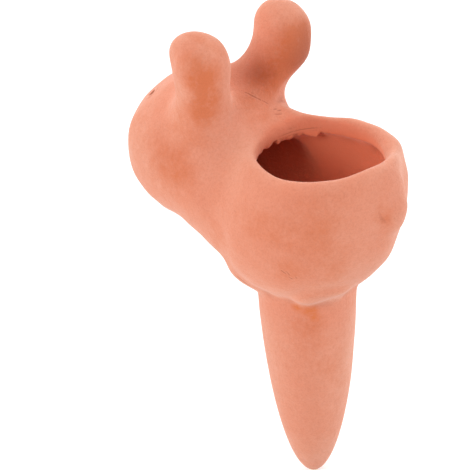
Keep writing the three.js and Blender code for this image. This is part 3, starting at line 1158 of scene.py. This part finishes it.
@dataclass
class ToolMarks:
    """The drag marks behind the ears, the wiping lines on the rim and the scratches on the flank, in mm."""

    strokes: tuple[Stroke, ...] = (
        Stroke(((-6.9, -29.5, 64.3), (-8.3, -26.6, 63.1), (-9.4, -25.2, 62)), 0.45, 0.2, 0.28),
        Stroke(((-9.8, -25, 61.8), (-11, -23.5, 60.4)), 0.4, 0.1, 0.12),
        Stroke(((-11.6, -21.2, 58), (-13.6, -20.4, 57)), 0.6, 0.05, 0.02),
        Stroke(((-12.4, -20, 57.4), (-14.6, -19, 56.2)), 0.6, 0.05, 0.02),
        Stroke(((-10.5, -19.5, 57), (-13, -17.7, 56)), 0.6, 0.05, 0.02),
        Stroke(((31.8, 9.6, 22), (30.9, 11, 20.6)), 0.5, 0.08, 0.1),
        Stroke(((31.2, 11.2, 21.8), (30.4, 12.2, 20.2)), 0.5, 0.06, 0.08),
        Stroke(((30.4, 11.6, 19.4), (29.6, 12.8, 18.4)), 0.5, 0.08, 0.1),
        Stroke(((29.6, 13.8, 19.8), (29.2, 14.4, 18.8)), 0.5, 0.06, 0.08),
        Stroke(
            ((23.7, -15.4, 9.4), (23.7, -12.4, 7.7), (22.6, -10.2, 6.1), (22, -8.9, 4.9)), 1.2, 0.12, 0.05
        ),
        Stroke(((10.3, 36, 45.5), (9.8, 36.1, 42.5), (8.4, 36.4, 39.1), (6, 38.2, 36)), 2.4, 0.08, 0.03),
    )
    rings: tuple[tuple[float, float, float, float], ...] = (
        (23.3, 51.0, -94.0, -132.0),
        (24.0, 52.0, -104.0, -150.0),
        (24.9, 53.0, -98.0, -140.0),
    )
    ring_setback: float = 6.65
    ring_steps: int = 9
    ring_width: float = 0.7
    ring_depth: float = 0.035
    ring_shade: float = 0.02
    pitch: float = 0.25 * MM
    margin: float = 1.6 * MM
    ridge: float = 0.3
    end_taper: float = 0.04
    _shade: np.ndarray = field(init=False, repr=False)

    def __post_init__(self) -> None:
        """Adds the rings that a finger dragged round the mouth to the strokes."""
        for radius, height, start, end in self.rings:
            turns = np.radians(np.linspace(start, end, self.ring_steps)).tolist()
            places = tuple(
                (radius * math.cos(turn), self.ring_setback + radius * math.sin(turn), height)
                for turn in turns
            )
            self.strokes += (Stroke(places, self.ring_width, self.ring_depth, self.ring_shade),)

    def trail(self, stroke: Stroke, tree: BVHTree) -> np.ndarray:
        """The places that a stroke passes, laid on the clay.

        Args:
            stroke: the stroke.
            tree: the search tree of the clay.

        Returns:
            Places at a steady pitch, one row each.
        """
        corners = np.array(stroke.places) * MM
        laid = []
        for start, end in zip(corners[:-1], corners[1:]):
            steps = max(2, int(np.linalg.norm(end - start) / self.pitch))
            for share in np.linspace(0.0, 1.0, steps):
                laid.append(tree.find_nearest(Vector(start + share * (end - start)))[0])
        return np.array(laid)

    def away(self, points: np.ndarray, trail: np.ndarray) -> tuple[np.ndarray, np.ndarray]:
        """How far each point is from a trail, and how far along the trail it lies.

        Args:
            points: places, one row each.
            trail: the places of the trail.

        Returns:
            The distance of each place, large where it is far, and its share of the trail.
        """
        far = np.full(len(points), 1.0)
        share = np.zeros(len(points))
        low, high = trail.min(axis=0) - 2.0 * self.margin, trail.max(axis=0) + 2.0 * self.margin
        near = np.flatnonzero(((points > low) & (points < high)).all(axis=1))
        gaps = np.linalg.norm(points[near, None, :] - trail[None, :, :], axis=2)
        far[near] = gaps.min(axis=1)
        share[near] = gaps.argmin(axis=1) / (len(trail) - 1)
        return far, share

    def build(self, skin: ClaySkin) -> None:
        """Carves the strokes.

        Args:
            skin: the clay.
        """
        tree = skin.tree()
        trails = [self.trail(stroke, tree) for stroke in self.strokes]
        for level in (1.0, 0.6):
            close = [self.away(skin.points, trail)[0] < level * self.margin for trail in trails]
            skin.refine(np.any(close, axis=0))
        self._shade = np.zeros(len(skin.points))
        carved = np.zeros(len(skin.points))
        for stroke, trail in zip(self.strokes, trails):
            far, share = self.away(skin.points, trail)
            inner = np.clip(share, self.end_taper, 1.0 - self.end_taper)
            taper = np.sqrt(np.sin(math.pi * inner))
            width = 0.5 * stroke.width * MM
            groove = np.exp(-((far / width) ** 2)) * taper
            ridge = np.exp(-(((far - 2.0 * width) / width) ** 2)) * taper
            carved += MM * stroke.depth * (self.ridge * ridge - groove)
            self._shade = np.maximum(self._shade, stroke.shade * groove)
        skin.push(carved)

    def dress(self, skin: ClaySkin) -> None:
        """Shades the bottoms of the strokes.

        Args:
            skin: the clay, to which later work may have added points.
        """
        skin.paint(Mark.CREASE, np.pad(self._shade, (0, len(skin.points) - len(self._shade))))


@dataclass(frozen=True)
class Terracotta:
    """The fired clay's finish."""

    body: Colour = (0.82, 0.33, 0.205, 1.0)
    # Paler clay for the uneven firing, also the painted highlight.
    bloom: Colour = (0.86, 0.455, 0.325, 1.0)
    # Kiln blush, also used for painted shade.
    blush: Colour = (0.745, 0.222, 0.092, 1.0)
    stain: Colour = (0.77, 0.235, 0.085, 1.0)
    # Painted bounce light inside the hollows.
    raw: Colour = (0.87, 0.27, 0.14, 1.0)
    # Painted shade, also the colour of the small dark dust specks.
    crease: Colour = (0.46, 0.11, 0.05, 1.0)
    pit: Colour = (0.035, 0.018, 0.014, 1.0)
    roughness: float = 0.8
    specular: float = 0.3
    sheen: float = 0.22
    sheen_roughness: float = 0.4
    bump: float = 0.6
    bump_height: float = 0.35 * MM


class NodeSheet:
    """A node tree with short ways to add and link nodes."""

    def __init__(self, tree: bpy.types.NodeTree) -> None:
        """Takes over a node tree.

        Args:
            tree: the tree to add to.
        """
        self.tree = tree

    def add(self, kind: str, inputs: dict | None = None, **settings: object) -> bpy.types.Node:
        """Adds a node.

        Args:
            kind: the node's type, such as ShaderNodeMath.
            inputs: a value or another node's output for each named or numbered input.
            settings: the node's own options.

        Returns:
            The new node.
        """
        node = self.tree.nodes.new(kind)
        for name, value in settings.items():
            setattr(node, name, value)
        for name, value in (inputs or {}).items():
            if isinstance(value, bpy.types.NodeSocket):
                self.tree.links.new(value, node.inputs[name])
            else:
                node.inputs[name].default_value = value
        return node

    def math(self, operation: str, *values: object) -> bpy.types.NodeSocket:
        """Adds a sum of values.

        Args:
            operation: the math node's operation.
            values: a number or another node's output for each input.

        Returns:
            The result's socket.
        """
        return self.add("ShaderNodeMath", dict(enumerate(values)), operation=operation).outputs[0]

    def mix(self, share: object, low: object, high: object, blend: str = "MIX") -> bpy.types.NodeSocket:
        """Adds a mix of two colours.

        Args:
            share: how much of the second colour shows.
            low: the first colour.
            high: the second colour.
            blend: how the two mix.

        Returns:
            The mixed colour's socket.
        """
        node = self.add(
            "ShaderNodeMix", {0: share, 6: low, 7: high}, data_type="RGBA", blend_type=blend
        )
        return node.outputs[2]

    def stretch(self, value: bpy.types.NodeSocket, low: float, high: float) -> bpy.types.NodeSocket:
        """Adds a clamped stretch of a value.

        Args:
            value: the value's socket.
            low: the value that becomes 0.
            high: the value that becomes 1.

        Returns:
            The stretched value's socket.
        """
        return self.add("ShaderNodeMapRange", {"Value": value, "From Min": low, "From Max": high}).outputs[0]

    def noise(self, place: bpy.types.NodeSocket, scale: object, detail: float) -> bpy.types.NodeSocket:
        """Adds a noise texture.

        Args:
            place: the coordinates' socket.
            scale: how many features a metre has.
            detail: how many finer octaves it has.

        Returns:
            The noise value's socket.
        """
        settings = {"Vector": place, "Scale": scale, "Detail": detail, "Roughness": 0.6}
        return self.add("ShaderNodeTexNoise", settings).outputs["Fac"]


def new_group(name: str, inputs: dict[str, float], outputs: list[str]) -> tuple[NodeSheet, dict, dict]:
    """Starts a shader node group with named sockets.

    Args:
        name: the group's name.
        inputs: the name and usual value of each input.
        outputs: the name of each output value.

    Returns:
        The sheet to build on, the inner sockets of the inputs, and of the outputs.
    """
    tree = bpy.data.node_groups.new(name, "ShaderNodeTree")
    for label, value in inputs.items():
        tree.interface.new_socket(label, in_out="INPUT", socket_type="NodeSocketFloat").default_value = value
    for label in outputs:
        tree.interface.new_socket(label, in_out="OUTPUT", socket_type="NodeSocketFloat")
    sheet = NodeSheet(tree)
    source = sheet.add("NodeGroupInput")
    sink = sheet.add("NodeGroupOutput")
    return sheet, {k: source.outputs[k] for k in inputs}, {k: sink.inputs[k] for k in outputs}


def mottle_group() -> bpy.types.NodeTree:
    """Builds the uneven firing: soft clouds, smaller patches, flecks and dust.

    Returns:
        The group, which puts out one mask about one half for each.
    """
    scales = {"Cloud": 45.0, "Patch": 170.0, "Fleck": 700.0, "Dust": 1500.0}
    inputs = {f"{name} scale": scale for name, scale in scales.items()}
    sheet, given, made = new_group("clay_mottle", inputs, list(scales))
    place = sheet.add("ShaderNodeTexCoord").outputs["Object"]
    for name in scales:
        noise = sheet.noise(place, given[f"{name} scale"], 3.0)
        sheet.tree.links.new(sheet.stretch(noise, 0.3, 0.7), made[name])
    return sheet.tree


def grain_group() -> bpy.types.NodeTree:
    """Builds the clay's grain: fine sand, drawn streaks and small pores.

    Returns:
        The group, which puts out a height and a mask of the pores.
    """
    strengths = {"Sand": 1.0, "Streaks": 1.0, "Pores": 1.0, "Streak width": 0.16, "Streak length": 1.0}
    sheet, given, made = new_group("clay_grain", strengths, ["Height", "Pore"])
    place = sheet.add("ShaderNodeTexCoord").outputs["Object"]
    sand = sheet.noise(place, 1400.0, 5.0)
    press = sheet.noise(place, 330.0, 2.0)
    drawn = sheet.add("ShaderNodeCombineXYZ")
    for axis, size in (("X", "Streak width"), ("Y", "Streak width"), ("Z", "Streak length")):
        sheet.tree.links.new(given[size], drawn.inputs[axis])
    flat = sheet.add("ShaderNodeVectorMath", {0: place, 1: drawn.outputs[0]}, operation="MULTIPLY")
    streak = sheet.noise(flat.outputs[0], 700.0, 3.0)
    cell = sheet.add("ShaderNodeTexVoronoi", {"Vector": place, "Scale": 380.0, "Randomness": 1.0})
    hole = sheet.stretch(cell.outputs["Distance"], 0.15, 0.07)
    some = sheet.math("GREATER_THAN", sheet.noise(place, 90.0, 1.0), 0.58)
    pore = sheet.math("MULTIPLY", sheet.math("MULTIPLY", hole, some), given["Pores"])
    rough = sheet.math("MULTIPLY", sheet.math("ADD", sand, press), given["Sand"])
    wiped = sheet.math("MULTIPLY", streak, given["Streaks"])
    high = sheet.math("SUBTRACT", sheet.math("ADD", rough, wiped), pore)
    sheet.tree.links.new(high, made["Height"])
    sheet.tree.links.new(pore, made["Pore"])
    return sheet.tree


@dataclass(frozen=True)
class Grain:
    """How the grain of one way of working stands out."""

    sand: float
    streaks: float
    pores: float
    streak_width: float
    streak_length: float


@dataclass
class Kiln:
    """Makes the finishes."""

    finish: Terracotta = field(default_factory=Terracotta)
    grains: dict[Working, Grain] = field(
        default_factory=lambda: {
            Working.WIPED: Grain(1.0, 0.7, 0.5, 0.16, 1.0),
            Working.PINCHED: Grain(1.2, 0.3, 0.5, 0.4, 0.4),
            Working.SCRAPED: Grain(0.9, 1.0, 0.4, 1.0, 0.12),
        }
    )

    def __post_init__(self) -> None:
        """Builds the shared effects and the finishes once."""
        self.mottle = mottle_group()
        self.grain = grain_group()
        self.made = {working: self.terracotta(working) for working in Working}

    def terracotta(self, working: Working) -> bpy.types.Material:
        """The fired clay of one way of working.

        Args:
            working: the way that the clay was worked.

        Returns:
            The material.
        """
        material = bpy.data.materials.new(working.value)
        material.use_nodes = True
        sheet = NodeSheet(material.node_tree)
        shader = material.node_tree.nodes["Principled BSDF"]
        finish = self.finish
        mark = {
            kind: sheet.add("ShaderNodeAttribute", attribute_name=kind.value).outputs["Fac"] for kind in Mark
        }
        clouds = sheet.add("ShaderNodeGroup", node_tree=self.mottle).outputs
        grain = sheet.add("ShaderNodeGroup", node_tree=self.grain)
        given = self.grains[working]
        grain.inputs["Sand"].default_value = given.sand
        grain.inputs["Streaks"].default_value = given.streaks
        grain.inputs["Pores"].default_value = given.pores
        grain.inputs["Streak width"].default_value = given.streak_width
        grain.inputs["Streak length"].default_value = given.streak_length
        colour = self.tint(sheet, mark, clouds, grain.outputs["Pore"])
        sheet.tree.links.new(colour, shader.inputs["Base Color"])
        rough = sheet.math("MULTIPLY_ADD", clouds["Fleck"], 0.1, finish.roughness - 0.05)
        sheet.tree.links.new(rough, shader.inputs["Roughness"])
        bump = sheet.add(
            "ShaderNodeBump",
            {"Height": grain.outputs["Height"], "Strength": finish.bump, "Distance": finish.bump_height},
        )
        sheet.tree.links.new(bump.outputs["Normal"], shader.inputs["Normal"])
        shader.inputs["Specular IOR Level"].default_value = finish.specular
        shader.inputs["Diffuse Roughness"].default_value = 1.0
        shader.inputs["Sheen Weight"].default_value = finish.sheen
        shader.inputs["Sheen Roughness"].default_value = finish.sheen_roughness
        return material

    def tint(
        self,
        sheet: NodeSheet,
        mark: dict[Mark, bpy.types.NodeSocket],
        clouds: bpy.types.bpy_prop_collection,
        pore: bpy.types.NodeSocket,
    ) -> bpy.types.NodeSocket:
        """Mixes the clay's colour from its firing, its stains and its marks, with painted highlights,
        painted bounce light inside and painted shade in creases, pits and pores.

        Args:
            sheet: the material's sheet.
            mark: the socket of each painted mask.
            clouds: the outputs of the uneven firing.
            pore: the mask of the pores.

        Returns:
            The colour's socket.
        """
        finish = self.finish
        colour = sheet.mix(sheet.math("MULTIPLY", clouds["Cloud"], 0.35), finish.body, finish.bloom)
        broken = sheet.math("MULTIPLY_ADD", clouds["Patch"], 0.7, 0.5)
        broken = sheet.math("MULTIPLY_ADD", clouds["Fleck"], 0.3, broken)
        patch = sheet.stretch(sheet.math("MULTIPLY", mark[Mark.BLUSH], broken), 0.15, 0.85)
        colour = sheet.mix(patch, colour, finish.blush)
        uneven = sheet.math("MULTIPLY_ADD", clouds["Cloud"], 0.3, 0.5)
        # Painted highlight.
        highlight_mask = sheet.math("MULTIPLY", mark[Mark.BLOOM], uneven)
        colour = sheet.mix(highlight_mask, colour, finish.bloom)
        speck = sheet.math("MULTIPLY", clouds["Patch"], 0.14)
        speck = sheet.math("MULTIPLY_ADD", clouds["Fleck"], 0.16, speck)
        colour = sheet.mix(speck, colour, finish.blush)
        dust = sheet.math("MULTIPLY", sheet.stretch(clouds["Dust"], 0.35, 1.0), 0.16)
        colour = sheet.mix(dust, colour, finish.crease)
        stain = sheet.stretch(sheet.math("MULTIPLY", mark[Mark.STAIN], broken), 0.15, 0.8)
        colour = sheet.mix(stain, colour, finish.stain)
        # Painted bounce light inside.
        colour = sheet.mix(mark[Mark.RAW], colour, finish.raw)
        # Painted shade in creases, grooves, the head's hollow and the feet's contact line.
        colour = sheet.mix(mark[Mark.CREASE], colour, finish.crease)
        # Painted shade in the pores.
        colour = sheet.mix(sheet.math("MULTIPLY", pore, 0.1), colour, finish.crease)
        colour = sheet.mix(mark[Mark.PIT], colour, finish.pit)
        return colour

    def fire(self, name: str) -> bpy.types.Material:
        """The finish of a piece.

        Args:
            name: the piece's name.

        Returns:
            Its material.
        """
        if name in Joint.SPIKE.value:
            return self.made[Working.SCRAPED]
        if name in Joint.EAR.value + Joint.FOOT.value + Joint.TAIL.value:
            return self.made[Working.PINCHED]
        return self.made[Working.WIPED]


@dataclass
class Pieces:
    """The skin, cut along its joints into the named pieces."""

    rounds: int = 8
    own_vote: float = 1.5
    sink: float = 1.2 * MM
    hollow: tuple[frozenset[str], ...] = (
        frozenset({"head_shell", "reservoir_bowl"}),
        frozenset({"reservoir_bowl", "watering_spike"}),
    )

    def owners(self, skin: ClaySkin, lump: Lump) -> tuple[np.ndarray, np.ndarray]:
        """The piece that each face belongs to, without stray islands.

        Args:
            skin: the clay.
            lump: the pieces under it.

        Returns:
            A piece number for each face, and the two faces that meet at each edge.
        """
        mesh = skin.mesh
        centre = np.empty(len(mesh.polygons) * 3, np.float32)
        mesh.polygons.foreach_get("center", centre)
        owner = lump.owner(centre.reshape(-1, 3))
        by_edge = np.empty(len(mesh.loops), np.int32)
        mesh.loops.foreach_get("edge_index", by_edge)
        total = np.empty(len(mesh.polygons), np.int32)
        mesh.polygons.foreach_get("loop_total", total)
        face = np.repeat(np.arange(len(mesh.polygons)), total)
        order = np.argsort(by_edge, kind="stable")
        pairs = face[order].reshape(-1, 2)
        for _ in range(self.rounds):
            votes = np.zeros((len(owner), len(lump.names)))
            votes[np.arange(len(owner)), owner] = self.own_vote
            np.add.at(votes, (pairs[:, 0], owner[pairs[:, 1]]), 1.0)
            np.add.at(votes, (pairs[:, 1], owner[pairs[:, 0]]), 1.0)
            owner = votes.argmax(axis=1)
        return owner, pairs

    def cut(self, skin: ClaySkin, lump: Lump) -> dict[str, bpy.types.Object]:
        """Cuts the skin into one object for each piece.

        Args:
            skin: the clay.
            lump: the pieces under it.

        Returns:
            The new objects by the name of the piece that they stand for.
        """
        facing = skin.normals()
        owner, pairs = self.owners(skin, lump)
        seams: dict[frozenset[int], frozenset[int]] = {}
        sides = owner[pairs]
        for edge in np.flatnonzero(sides[:, 0] != sides[:, 1]):
            seams[frozenset(skin.edges[edge].tolist())] = frozenset(sides[edge].tolist())
        faces = [tuple(face.vertices) for face in skin.mesh.polygons]
        made: dict[str, bpy.types.Object] = {}
        for number, name in enumerate(lump.names):
            chosen = [faces[i] for i in np.flatnonzero(owner == number)]
            used = np.unique(np.concatenate([np.array(face) for face in chosen]))
            place = np.zeros(len(skin.points), int)
            place[used] = np.arange(len(used))
            mesh = bpy.data.meshes.new(f"{name}_clay")
            mesh.from_pydata(skin.points[used].tolist(), [], [tuple(place[list(face)]) for face in chosen])
            used = self.close(mesh, used, facing, seams, lump.names)
            for mark, values in skin.marks.items():
                layer = mesh.attributes.new(mark.value, "FLOAT", "POINT")
                layer.data.foreach_set("value", values[used].astype(np.float32))
            mesh.shade_smooth()
            mesh.normals_split_custom_set_from_vertices(facing[used].tolist())
            piece = bpy.data.objects.new(f"{name}_clay", mesh)
            bpy.context.scene.collection.objects.link(piece)
            made[name] = piece
        return made

    def rims(self, work: bmesh.types.BMesh) -> list[list[bmesh.types.BMEdge]]:
        """The open rims of a piece, each as the edges that hang together.

        Args:
            work: the piece.

        Returns:
            One list of edges for each rim.
        """
        left = {edge for edge in work.edges if edge.is_boundary}
        found = []
        while left:
            grow = [left.pop()]
            rim = list(grow)
            while grow:
                edge = grow.pop()
                near = {other for vert in edge.verts for other in vert.link_edges if other in left}
                left -= near
                grow.extend(near)
                rim.extend(near)
            found.append(rim)
        return found

    def close(
        self,
        mesh: bpy.types.Mesh,
        used: np.ndarray,
        facing: np.ndarray,
        seams: dict[frozenset[int], frozenset[int]],
        names: list[str],
    ) -> np.ndarray:
        """Closes a piece inside its joints: a wall's two rims by a ring, any other rim by a sunk cap.

        Args:
            mesh: the piece's open mesh.
            used: the number in the whole skin of each of the mesh's points.
            facing: the direction that each point of the whole skin faces.
            seams: the two pieces that meet at each edge of the skin between pieces.
            names: the names of the pieces.

        Returns:
            The number in the whole skin of each of the closed mesh's points.
        """
        work = bmesh.new()
        work.from_mesh(mesh)
        walls: dict[frozenset[str], list[list[bmesh.types.BMEdge]]] = {wall: [] for wall in self.hollow}
        caps = []
        for rim in self.rims(work):
            meets = {
                frozenset(names[i] for i in seams[frozenset(int(used[v.index]) for v in edge.verts)])
                for edge in rim
            }
            wall = next((pair for pair in self.hollow if pair in meets), None)
            if wall is None:
                caps.append(rim)
            else:
                walls[wall].append(rim)
        for wall, pair in walls.items():
            if len(pair) == 2:
                bmesh.ops.bridge_loops(work, edges=pair[0] + pair[1])
            elif pair:
                log.warning("%s: %d rims at %s", mesh.name, len(pair), sorted(wall))
        origin = dict(zip(work.verts, used.tolist()))
        for rim in caps:
            made = bmesh.ops.extrude_edge_only(work, edges=rim)["geom"]
            fresh = {item for item in made if isinstance(item, bmesh.types.BMVert)}
            ring = [e for e in made if isinstance(e, bmesh.types.BMEdge) and fresh.issuperset(e.verts)]
            for vert in fresh:
                ends = (edge.other_vert(vert) for edge in vert.link_edges)
                origin[vert] = origin[next(end for end in ends if end not in fresh)]
                vert.co -= Vector(facing[origin[vert]]) * self.sink
            bmesh.ops.holes_fill(work, edges=ring, sides=0)
        log.info("%s: %d open edges", mesh.name, sum(edge.is_boundary for edge in work.edges))
        numbers = np.array([origin[vert] for vert in work.verts])
        work.to_mesh(mesh)
        work.free()
        return numbers


@dataclass
class Studio:
    """The camera, the light tent and the white paper under the object."""

    azimuth: float = 125.03
    elevation: float = 28.88
    roll: float = 3.07
    distance: float = 680 * MM
    pixel: float = 0.36 * MM
    anchor: Place = (0.0, 0.0, 30 * MM)
    anchor_pixel: tuple[float, float] = (305.17, 206.88)
    sensor: float = 36.0
    floor_side: float = 3.0
    tent_front: float = 0.5
    tent_back: float = 1.8
    tent_top: float = 0.1
    lamp_side: float = 0.3
    lamp_distance: float = 0.9
    key_power: float = 2.1
    key_way: Place = (-0.62, 0.06, 0.9)
    top_power: float = 1.0
    top_way: Place = (-0.3, 1.0, 0.1)
    fill_power: float = 3.2
    fill_way: Place = (1.0, 0.1, 0.0)
    paper_glow: float = 0.35

    def axes(self) -> tuple[Vector, Vector, Vector]:
        """Works out how the camera is turned.

        Returns:
            Its right, up and backward directions.
        """
        a, e, r = (math.radians(x) for x in (self.azimuth, self.elevation, self.roll))
        back = Vector((math.sin(a) * math.cos(e), -math.cos(a) * math.cos(e), math.sin(e)))
        level = Vector((math.cos(a), math.sin(a), 0.0))
        up = back.cross(level)
        right = level * math.cos(r) - up * math.sin(r)
        return right, level * math.sin(r) + up * math.cos(r), back

    def camera(self) -> bpy.types.Object:
        """Sets up the camera at the photograph's viewing angle.

        Returns:
            The camera.
        """
        right, up, back = self.axes()
        middle = 0.5 * IMAGE_SIDE
        aim = Vector(self.anchor)
        aim += right * ((middle - self.anchor_pixel[0]) * self.pixel)
        aim += up * ((self.anchor_pixel[1] - middle) * self.pixel)
        lens = bpy.data.cameras.new("studio_camera")
        lens.sensor_width = self.sensor
        lens.lens = self.sensor * self.distance / (self.pixel * IMAGE_SIDE)
        camera = bpy.data.objects.new("studio_camera", lens)
        turn = Matrix((right, up, back)).transposed().to_4x4()
        camera.matrix_world = Matrix.Translation(aim + back * self.distance) @ turn
        bpy.context.scene.collection.objects.link(camera)
        bpy.context.scene.camera = camera
        return camera

    def seen(self, sheet: NodeSheet) -> bpy.types.NodeSocket:
        """Masks the rays that show the background: straight, mirrored and through glass.

        Args:
            sheet: the sheet to add to.

        Returns:
            The mask's socket.
        """
        path = sheet.add("ShaderNodeLightPath").outputs
        direct = sheet.math("MAXIMUM", path["Is Camera Ray"], path["Is Glossy Ray"])
        return sheet.math("MAXIMUM", direct, path["Is Transmission Ray"])

    def tent(self) -> None:
        """A white light tent, brighter behind the object than on the camera's side."""
        world = bpy.data.worlds.new("light_tent")
        world.use_nodes = True
        bpy.context.scene.world = world
        sheet = NodeSheet(world.node_tree)
        world.node_tree.nodes.clear()
        _, _, back = self.axes()
        way = sheet.add("ShaderNodeTexCoord").outputs["Generated"]
        toward = sheet.add("ShaderNodeVectorMath", {0: way, 1: back}, operation="DOT_PRODUCT")
        level = sheet.add(
            "ShaderNodeMapRange",
            {
                "Value": toward.outputs["Value"],
                "From Min": -1.0,
                "From Max": 1.0,
                "To Min": self.tent_back,
                "To Max": self.tent_front,
            },
        )
        height = sheet.add("ShaderNodeSeparateXYZ", {0: way}).outputs["Z"]
        above = sheet.math("MULTIPLY", sheet.math("MAXIMUM", height, 0.0), self.tent_top)
        glow = sheet.math("ADD", level.outputs[0], above)
        lit = sheet.add("ShaderNodeBackground", {"Color": (1.0, 1.0, 1.0, 1.0), "Strength": glow})
        white = sheet.add("ShaderNodeBackground", {"Color": (1.0, 1.0, 1.0, 1.0), "Strength": 1.0})
        shown = self.seen(sheet)
        both = sheet.add("ShaderNodeMixShader", {0: shown, 1: lit.outputs[0], 2: white.outputs[0]})
        sheet.add("ShaderNodeOutputWorld", {"Surface": both.outputs[0]})

    def lamp(self, name: str, way: Place, power: float) -> None:
        """Hangs a square soft light that shines on the object.

        Args:
            name: the light's name.
            way: where it hangs, to the camera's right, up and back.
            power: how strong it is.
        """
        out = sum((axis * share for axis, share in zip(self.axes(), way)), Vector())
        data = bpy.data.lights.new(name, "AREA")
        data.size = self.lamp_side
        data.energy = power
        lamp = bpy.data.objects.new(name, data)
        lamp.location = Vector(self.anchor) + out.normalized() * self.lamp_distance
        lamp.rotation_mode = "QUATERNION"
        lamp.rotation_quaternion = out.to_track_quat("Z", "Y")
        bpy.context.scene.collection.objects.link(lamp)

    def paper(self, low: float) -> None:
        """Lays the white paper that the object stands on.

        Args:
            low: the height of the paper.
        """
        half = 0.5 * self.floor_side
        mesh = bpy.data.meshes.new("paper")
        corners = [(-half, -half, low), (half, -half, low), (half, half, low), (-half, half, low)]
        mesh.from_pydata(corners, [], [(0, 1, 2, 3)])
        floor = bpy.data.objects.new("paper", mesh)
        bpy.context.scene.collection.objects.link(floor)
        material = bpy.data.materials.new("white_paper")
        material.use_nodes = True
        sheet = NodeSheet(material.node_tree)
        material.node_tree.nodes.clear()
        matte = sheet.add("ShaderNodeBsdfDiffuse", {"Color": (0.8, 0.8, 0.8, 1.0)})
        glow = sheet.math("MULTIPLY", self.seen(sheet), self.paper_glow)
        glow = sheet.add("ShaderNodeEmission", {"Strength": glow})
        both = sheet.add("ShaderNodeAddShader", {0: matte.outputs[0], 1: glow.outputs[0]})
        sheet.add("ShaderNodeOutputMaterial", {"Surface": both.outputs[0]})
        mesh.materials.append(material)

    def build(self) -> None:
        """Sets up the camera, the lights and the paper."""
        self.camera()
        self.tent()
        self.lamp("key_light", self.key_way, self.key_power)
        self.lamp("top_light", self.top_way, self.top_power)
        self.lamp("fill_light", self.fill_way, self.fill_power)
        self.paper(CAD_BOX[0].z)
        bpy.context.scene.view_settings.view_transform = "Standard"


def main() -> None:
    """Builds, dresses and lights the waterer."""
    logging.basicConfig(level=logging.INFO, format="%(name)s: %(message)s")
    lump = Lump()
    hands = Hands()
    bowl = BowlClay()
    head = HeadClay()
    ears = EarClay()
    spike = SpikeClay()
    tail = TailClay()
    tools = ToolMarks()
    luting = Luting()
    skin = luting.join(lump, head.plugs(lump.tree))
    log.info("kneaded: %d points", len(skin.points))
    hands.build(skin, bowl.pliant(skin.points))
    for part in (ears, spike, tail, FootClay(), bowl, tools, head):
        part.build(skin)
    hands.dress(skin, luting, lump)
    for part in (bowl, ears, spike, tail, tools, head):
        part.dress(skin)
    log.info("worked: %d points", len(skin.points))
    kiln = Kiln()
    for name, piece in Pieces().cut(skin, lump).items():
        piece.data.materials.append(kiln.fire(name))
        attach(piece, BODY)
        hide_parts(name)
        log.info("%s: %d faces, stands for %s", piece.name, len(piece.data.polygons), name)
    Studio().build()


if __name__ == "__main__":
    main()
